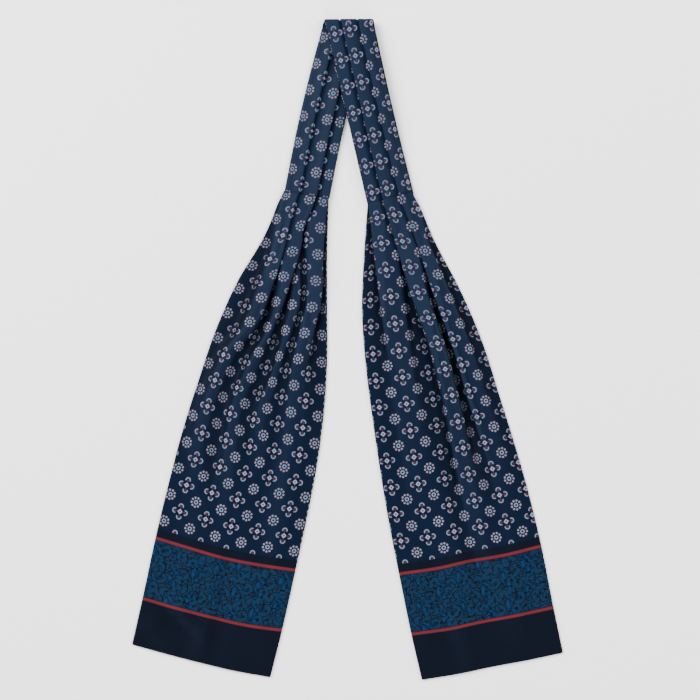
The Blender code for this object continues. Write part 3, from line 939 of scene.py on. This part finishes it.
def wired(tree, known, rows):
    """Adds a table's Math nodes in order and returns all that is known by name.

    columns of a row: name, operation, and its inputs, which are numbers or names
    """
    known = dict(known)
    for name, operation, *inputs in rows:
        sockets = [known[value] if isinstance(value, str) else value for value in inputs]
        known[name] = add_node(tree, "Math", *sockets, operation=operation)
    return known


def within(tree, distance, reach, soft=PRINT_SOFTNESS, full=1.0):
    """Full where a distance is less than reach, with a dye's soft edge."""
    return add_node(tree, "MapRange", distance, reach - soft, reach + soft, full, 0.0, clamp=True)


def dyed_and_painted(tree, known, colour, dyes, rows):
    """The colour with a table's dyes, and the painted sheen and shade, laid on it in order.

    columns of a row: dye, its mask, or a distance and the reach, softness and strength within it
    """
    for dye, mask, *reach in rows:
        mask = within(tree, known[mask], *reach) if reach else known[mask]
        inputs = (mask, *SKIPPED_MIX_INPUTS, colour, dyes[dye])
        colour = add_node(tree, "Mix", *inputs, data_type="RGBA", clamp_factor=True).outputs[2]
    return colour


def hypotenuse(name, a, b):
    """A table's rows for the root of a sum of squares."""
    return (
        (a + "_squared", "MULTIPLY", a, a),
        (b + "_squared", "MULTIPLY", b, b),
        (name + "_squared", "ADD", a + "_squared", b + "_squared"),
        (name, "SQRT", name + "_squared"),
    )


def centred(tree, known, shift):
    """Millimetres across, up and away from the nearest motif of one kind."""
    for axis, cells, period in (("x", "column", COLUMN_PERIOD), ("y", "row", ROW_PERIOD)):
        known = wired(tree, known, (
            ("cell", "ADD", cells, shift),
            ("fract", "FRACT", "cell"),
            ("off", "SUBTRACT", "fract", 0.5),
            (axis, "MULTIPLY", "off", period),
        ))
    return wired(tree, known, hypotenuse("r", "x", "y"))


def flower_print(tree, known, colour, dyes):
    """Four C-shaped petals round a square blossom, with a red stamen in each petal."""
    known = wired(tree, centred(tree, known, 0.5), (
        ("ax", "ABSOLUTE", "x"), ("ay", "ABSOLUTE", "y"),
        ("a", "MAXIMUM", "ax", "ay"), ("b", "MINIMUM", "ax", "ay"),
        ("pa", "SUBTRACT", "a", PETAL_OUT),
        *hypotenuse("p", "pa", "b"),
        ("ring_off", "SUBTRACT", "p", PETAL_RADIUS), ("ring", "ABSOLUTE", "ring_off"),
        ("mouth_at", "MULTIPLY_ADD", "p", PETAL_MOUTH, "pa"),
        ("from_mouth", "MULTIPLY", "mouth_at", -1.0),
        ("square", "MULTIPLY_ADD", "b", BLOSSOM_CORNER, "a"),
        ("off_neck", "SUBTRACT", "a", NECK_MIDDLE), ("from_neck", "ABSOLUTE", "off_neck"),
    ))
    for mask, distance, reach in (
        ("stroke", "ring", PETAL_STROKE), ("mouth", "from_mouth", 0.0),
        ("stamen", "p", STAMEN_RADIUS),
        ("neck", "b", NECK_HALF), ("neck_end", "from_neck", NECK_LONG),
    ):
        known[mask] = within(tree, known[distance], reach)
    known = wired(tree, known, (
        ("petals", "MULTIPLY", "stroke", "mouth"), ("necks", "MULTIPLY", "neck", "neck_end"),
        ("reds", "MAXIMUM", "necks", "stamen"),
    ))
    return dyed_and_painted(tree, known, colour, dyes, (
        ("shade", "r", *FLOWER_SHADE),
        ("stamen", "reds"),
        ("petal", "petals"),
        ("blossom", "square", BLOSSOM_HALF),
        ("eye", "r", EYE_RADIUS, EYE_SOFTNESS),
    ))


def rosette_print(tree, known, colour, dyes):
    """Nine round dots about a pale ring with a dark middle."""
    known = wired(tree, centred(tree, known, 0.0), (
        ("angle", "ARCTAN2", "x", "y"), ("turns", "MULTIPLY", "angle", ROSETTE_DOTS / math.tau),
        ("turn", "FRACT", "turns"), ("side", "SUBTRACT", "turn", 0.5),
        ("aside", "MULTIPLY", "side", math.tau / ROSETTE_DOTS * DOTS_OUT),
        ("out", "SUBTRACT", "r", DOTS_OUT),
        *hypotenuse("d", "aside", "out"),
    ))
    return dyed_and_painted(tree, known, colour, dyes, (
        ("shade", "r", *ROSETTE_SHADE),
        ("dot", "d", DOT_RADIUS, DOT_SOFTNESS),
        ("ring", "r", RING_RADIUS),
        ("pupil", "r", PUPIL_RADIUS),
    ))


def scroll_cell(tree, known, across, up):
    """Millimetres across and up from the nearest repeat of one stroke of the scrolls."""
    return wired(tree, known, (
        ("cu", "MULTIPLY_ADD", "su", 1 / SCROLL_ACROSS, 0.5 - across / SCROLL_ACROSS),
        ("fu", "FRACT", "cu"), ("iu", "SUBTRACT", "cu", "fu"),
        ("x", "MULTIPLY_ADD", "fu", SCROLL_ACROSS, -SCROLL_ACROSS / 2),
        ("level", "MULTIPLY_ADD", "sv", 1 / SCROLL_UP, 0.5 - up / SCROLL_UP),
        ("cv", "MULTIPLY_ADD", "iu", -SCROLL_RISE / SCROLL_UP, "level"),
        ("fv", "FRACT", "cv"), ("y", "MULTIPLY_ADD", "fv", SCROLL_UP, -SCROLL_UP / 2),
    ))


def scroll_print(tree, known, dyes):
    """The border's ground: curled scrolls with a grey outline, and bright leaves between."""
    noises = {
        name: add_node(tree, "TexNoise", known["place"], None, *look, noise_dimensions="2D")
        for name, look in SCROLL_NOISES.items()
    }
    known = wired(tree, known | noises, (
        ("wave", "SUBTRACT", "noise", 0.5),
        ("su", "MULTIPLY_ADD", "u", 1 / MM, -SCROLL_COLUMN),
        ("sv", "MULTIPLY_ADD", "v", 1 / MM, -SCROLL_ROW),
        ("su", "MULTIPLY_ADD", "wave", SCROLL_WOBBLE, "su"),
        ("sv", "MULTIPLY_ADD", "wave", -SCROLL_WOBBLE, "sv"),
    ))
    away = leaf = FAR_AWAY
    for across, up, radius, middle, half in SCROLL_ARCS:
        away = wired(tree, scroll_cell(tree, known | {"away": away}, across, up), (
            ("xx", "MULTIPLY", "x", "x"), ("rr", "MULTIPLY_ADD", "y", "y", "xx"),
            ("r", "SQRT", "rr"), ("angle", "ARCTAN2", "y", "x"),
            ("from_middle", "SUBTRACT", "angle", math.radians(middle)),
            ("wrapped", "WRAP", "from_middle", math.pi, -math.pi),
            ("aside", "ABSOLUTE", "wrapped"), ("past", "SUBTRACT", "aside", math.radians(half)),
            ("past_end", "MAXIMUM", "past", 0.0), ("cosine", "COSINE", "past_end"),
            ("r_cosine", "MULTIPLY", "r", "cosine"), ("sum", "ADD", "rr", radius**2),
            ("square", "MULTIPLY_ADD", "r_cosine", -2 * radius, "sum"),
            ("distance", "SQRT", "square"), ("away", "MINIMUM", "distance", "away"),
        ))["away"]
    for across, up, lean, half_width, half_length in SCROLL_LEAVES:
        leaf = wired(tree, scroll_cell(tree, known | {"leaf": leaf}, across, up), (
            ("upright", "MULTIPLY_ADD", "y", -lean, "x"),
            ("wide", "DIVIDE", "upright", half_width), ("long", "DIVIDE", "y", half_length),
            ("wide2", "MULTIPLY", "wide", "wide"),
            ("both2", "MULTIPLY_ADD", "long", "long", "wide2"),
            ("distance", "SQRT", "both2"), ("leaf", "MINIMUM", "distance", "leaf"),
        ))["leaf"]
    known = wired(tree, known | {"away": away, "leaf": leaf}, (
        ("echo", "PINGPONG", "away", SCROLL_ECHO),
        ("crest", "SUBTRACT", SCROLL_ECHO, "echo"),
    ))
    return dyed_and_painted(tree, known, dyes["scroll"], dyes, SCROLL_DYES)


def printed_silk(colours):
    """Printed silk twill: a close, soft satin sheen over navy, the motifs in paler dyes, and painted
    sheen and shade on the folds.
    """
    made = bpy.data.materials.new("printed_silk_twill")
    made.use_nodes = True
    tree = made.node_tree
    tree.nodes.clear()
    dyes = {name: tuple(getattr(colours, name)) for name in DYES_AND_PAINTED_LIGHT}
    place = add_node(tree, "UVMap", uv_map="cloth")
    parts = add_node(tree, "SeparateXYZ", place)
    known = {"place": place.outputs[0], "u": parts.outputs[0], "v": parts.outputs[1]}
    known = wired(tree, known, (
        ("column", "DIVIDE", "u", COLUMN_PERIOD * MM),
        ("line", "SUBTRACT", "v", FLOWER_ROW * MM), ("row", "DIVIDE", "line", ROW_PERIOD * MM),
        ("up", "MULTIPLY", "v", 1 / MM),
    ))
    for name, middle in (
        ("hem_stripe", LOWER_STRIPE),
        ("top_stripe", UPPER_STRIPE),
        ("band", (LOWER_STRIPE + UPPER_STRIPE) / 2),
    ):
        known = wired(tree, known, (("off", "SUBTRACT", "up", middle), (name, "ABSOLUTE", "off")))
    colour = rosette_print(tree, known, flower_print(tree, known, dyes["ground"], dyes), dyes)
    dyes["scrolls"] = scroll_print(tree, known, dyes)
    # The fold attribute is painted light and shade: sheen on the fold ridges, shade in their hollows.
    fold = add_node(tree, "Attribute", attribute_name="fold")
    look = (MOTTLE_SCALE, MOTTLE_DETAIL, MOTTLE_FINE)
    mottle = add_node(tree, "TexNoise", place, None, *look, noise_dimensions="2D")
    known = wired(tree, known | {"fold": fold.outputs[2], "mottle": mottle}, (
        ("seam", "COMPARE", "up", BLADE_LENGTH, SEAM_SHADE_HALF),
        ("ridge", "MULTIPLY", "fold", PAINTED_SHEEN_SHARE), ("hollow", "MULTIPLY", "fold", -HOLLOW_SHARE),
        ("uneven", "MULTIPLY", "mottle", MOTTLE_SHARE),
        ("across", "ADD", "u", "v"), ("turns", "DIVIDE", "across", TWILL_PITCH * MM),
        ("rib", "PINGPONG", "turns", 0.5), ("rib_share", "MULTIPLY", "rib", TWILL_SHARE),
    ))
    colour = dyed_and_painted(tree, known, colour, dyes, (
        ("plain", "up", PRINT_CUT),
        ("scrolls", "band", (UPPER_STRIPE - LOWER_STRIPE) / 2),
        ("shade", "hem_stripe", STRIPE_SHADE), ("stripe", "hem_stripe", STRIPE_HALF),
        ("shade", "top_stripe", STRIPE_SHADE), ("stripe", "top_stripe", STRIPE_HALF),
        # Painted shade in the seam's groove and fold hollows, painted sheen on the ridges; mottle and
        # ribs are real.
        ("deep", "seam"), ("shade", "uneven"), ("shade", "rib_share"),
        ("worn", "ridge"), ("deep", "hollow"),
    ))
    rough = add_node(tree, "MapRange", mottle, *MOTTLE_RANGE, *SATIN_ROUGHNESS, clamp=True)
    relief = add_node(tree, "Bump", TWILL_STRENGTH, TWILL_DEPTH * MM, None, known["rib"])
    shader = add_node(tree, "BsdfPrincipled")
    tree.links.new(colour, shader.inputs["Base Color"])
    tree.links.new(rough.outputs[0], shader.inputs["Roughness"])
    tree.links.new(relief.outputs[0], shader.inputs["Normal"])
    for name, value in SILK_SOCKETS.items():
        shader.inputs[name].default_value = value
    add_node(tree, "OutputMaterial", shader)
    return made


class CravatSizes(bpy.types.PropertyGroup):
    """The colours of the print, and of the painted sheen and shade on the folds."""

    silk_thickness: FloatProperty(
        name="Silk thickness", description="Thickness of one layer of the silk",
        default=SILK_THICKNESS * MM, min=0.0001, max=0.0006, unit="LENGTH", precision=5,
    )


class CravatDyesAndPaintedLight(bpy.types.PropertyGroup):
    """The colours of the print."""

    __annotations__ = {
        name: FloatVectorProperty(
            name=name.replace("_", " ").capitalize(), description=words, subtype="COLOR",
            size=4, min=0.0, max=1.0, default=linear(colour),
        )
        for name, (colour, words) in DYES_AND_PAINTED_LIGHT.items()
    }


class CravatStage(bpy.types.PropertyGroup):
    """The stage's sizes and light."""

    camera_height: FloatProperty(
        name="Camera height", description="Height of the camera above the surface",
        default=1.85, min=0.5, max=6.0, unit="LENGTH",
    )
    lens: FloatProperty(
        name="Lens", description="Focal length in millimetres", default=100.0, min=20.0,
    )
    light: FloatProperty(
        name="Light", description="Power of the key softbox", default=185.0, min=0.0, unit="POWER",
    )
    room_light: FloatProperty(
        name="Room light", description="Strength of the light all round", default=0.35, min=0.0,
    )


class CRAVAT_OT_stage(bpy.types.Operator):
    """Makes the surface, the soft lights and the camera"""

    bl_idname = "cravat.stage"
    bl_label = "Stage"

    def execute(self, context):
        settings = context.scene.cravat_stage
        bpy.ops.mesh.primitive_plane_add(size=FLOOR_SIZE, location=(0.0, 0.0, 0.0))
        floor = context.active_object
        floor.name = "floor"
        paper = bpy.data.materials.new("matt_studio_paper")
        paper.use_nodes = True
        shader = paper.node_tree.nodes["Principled BSDF"]
        shader.inputs["Base Color"].default_value = linear(PAPER_COLOUR)
        shader.inputs["Roughness"].default_value = PAPER_ROUGHNESS
        floor.data.materials.append(paper)
        world = bpy.data.worlds.new("studio_room")
        world.use_nodes = True
        background = world.node_tree.nodes["Background"]
        background.inputs[0].default_value = linear(ROOM_COLOUR)
        background.inputs[1].default_value = settings.room_light
        context.scene.world = world
        for name, place, size, share in SOFTBOXES:
            lamp = bpy.data.lights.new(name, "AREA")
            lamp.size = size
            lamp.energy = settings.light * share
            holder = bpy.data.objects.new(name, lamp)
            holder.location = place
            holder.rotation_euler = (-holder.location).to_track_quat("-Z", "Y").to_euler()
            context.scene.collection.objects.link(holder)
        camera = bpy.data.cameras.new("overhead")
        camera.lens = settings.lens
        camera.sensor_width = SENSOR_WIDTH
        view = bpy.data.objects.new("overhead", camera)
        view.location = (*CAMERA_PLACE, settings.camera_height)
        context.scene.collection.objects.link(view)
        context.scene.camera = view
        return {"FINISHED"}


class CRAVAT_OT_front_leg(bpy.types.Operator):
    """Makes the front leg and the neck fold as one tube of silk"""

    bl_idname = "cravat.front_leg"
    bl_label = "Front leg"

    def execute(self, context):
        rings, places, heights, shades = tube_rings(FRONT_LEG, True)
        over, over_heights = fold_rings(rings[0], heights[0])
        rings = np.concatenate([over, rings])
        heights = np.concatenate([over_heights, heights])
        places, shades = (
            np.concatenate([np.repeat(grid[:1], len(over), axis=0), grid])
            for grid in (places, shades)
        )
        piece = cloth_tube("front_leg_silk", rings, places, heights, shades, FRONT_COLUMN, True)
        finish_piece(
            piece, context,
            ("front_blade_face", "front_blade_back", "front_neckband", "neck_fold"),
        )
        return {"FINISHED"}


class CRAVAT_OT_rear_leg(bpy.types.Operator):
    """Makes the rear leg as one tube of silk"""

    bl_idname = "cravat.rear_leg"
    bl_label = "Rear leg"

    def execute(self, context):
        piece = cloth_tube("rear_leg_silk", *tube_rings(REAR_LEG, False), REAR_COLUMN, False)
        finish_piece(
            piece, context,
            ("rear_blade_face", "rear_blade_back", "rear_neckband"),
        )
        return {"FINISHED"}


def finish_piece(piece, context, nodes):
    """Thickens a tube, gives it its silk, hangs it on the root body and hides the frame's parts that
    it stands for.
    """
    thickened(piece, context.scene.cravat_sizes.silk_thickness)
    silk = bpy.data.materials.get("printed_silk_twill")
    piece.data.materials.append(silk or printed_silk(context.scene.cravat_dyes))
    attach(piece, "root")
    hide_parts(*nodes)


class CRAVAT_PT_pieces(bpy.types.Panel):
    """Lists the cravat's pieces"""

    bl_idname = "CRAVAT_PT_pieces"
    bl_label = "Cravat"
    bl_space_type = "VIEW_3D"
    bl_region_type = "UI"
    bl_category = "Cravat"

    def draw(self, context):
        for group in (getattr(context.scene, setting) for setting in SETTINGS):
            for name in group.bl_rna.properties.keys():
                if name not in ("rna_type", "name"):
                    self.layout.prop(group, name)
        for made in OPERATORS:
            self.layout.operator(made.bl_idname)


OPERATORS = (CRAVAT_OT_stage, CRAVAT_OT_rear_leg, CRAVAT_OT_front_leg)
SETTINGS = {"cravat_sizes": CravatSizes, "cravat_dyes": CravatDyesAndPaintedLight, "cravat_stage": CravatStage}
CLASSES = (*SETTINGS.values(), *OPERATORS, CRAVAT_PT_pieces)


def register():
    """Registers the classes and their settings."""
    for made in CLASSES:
        bpy.utils.register_class(made)
    for name, group in SETTINGS.items():
        setattr(bpy.types.Scene, name, PointerProperty(type=group))


def unregister():
    """Takes them away again."""
    for name in SETTINGS:
        delattr(bpy.types.Scene, name)
    for made in reversed(CLASSES):
        bpy.utils.unregister_class(made)


def main():
    """Builds the pieces in order."""
    register()
    bpy.ops.cravat.stage()
    bpy.ops.cravat.rear_leg()
    bpy.ops.cravat.front_leg()


if __name__ == "__main__":
    main()
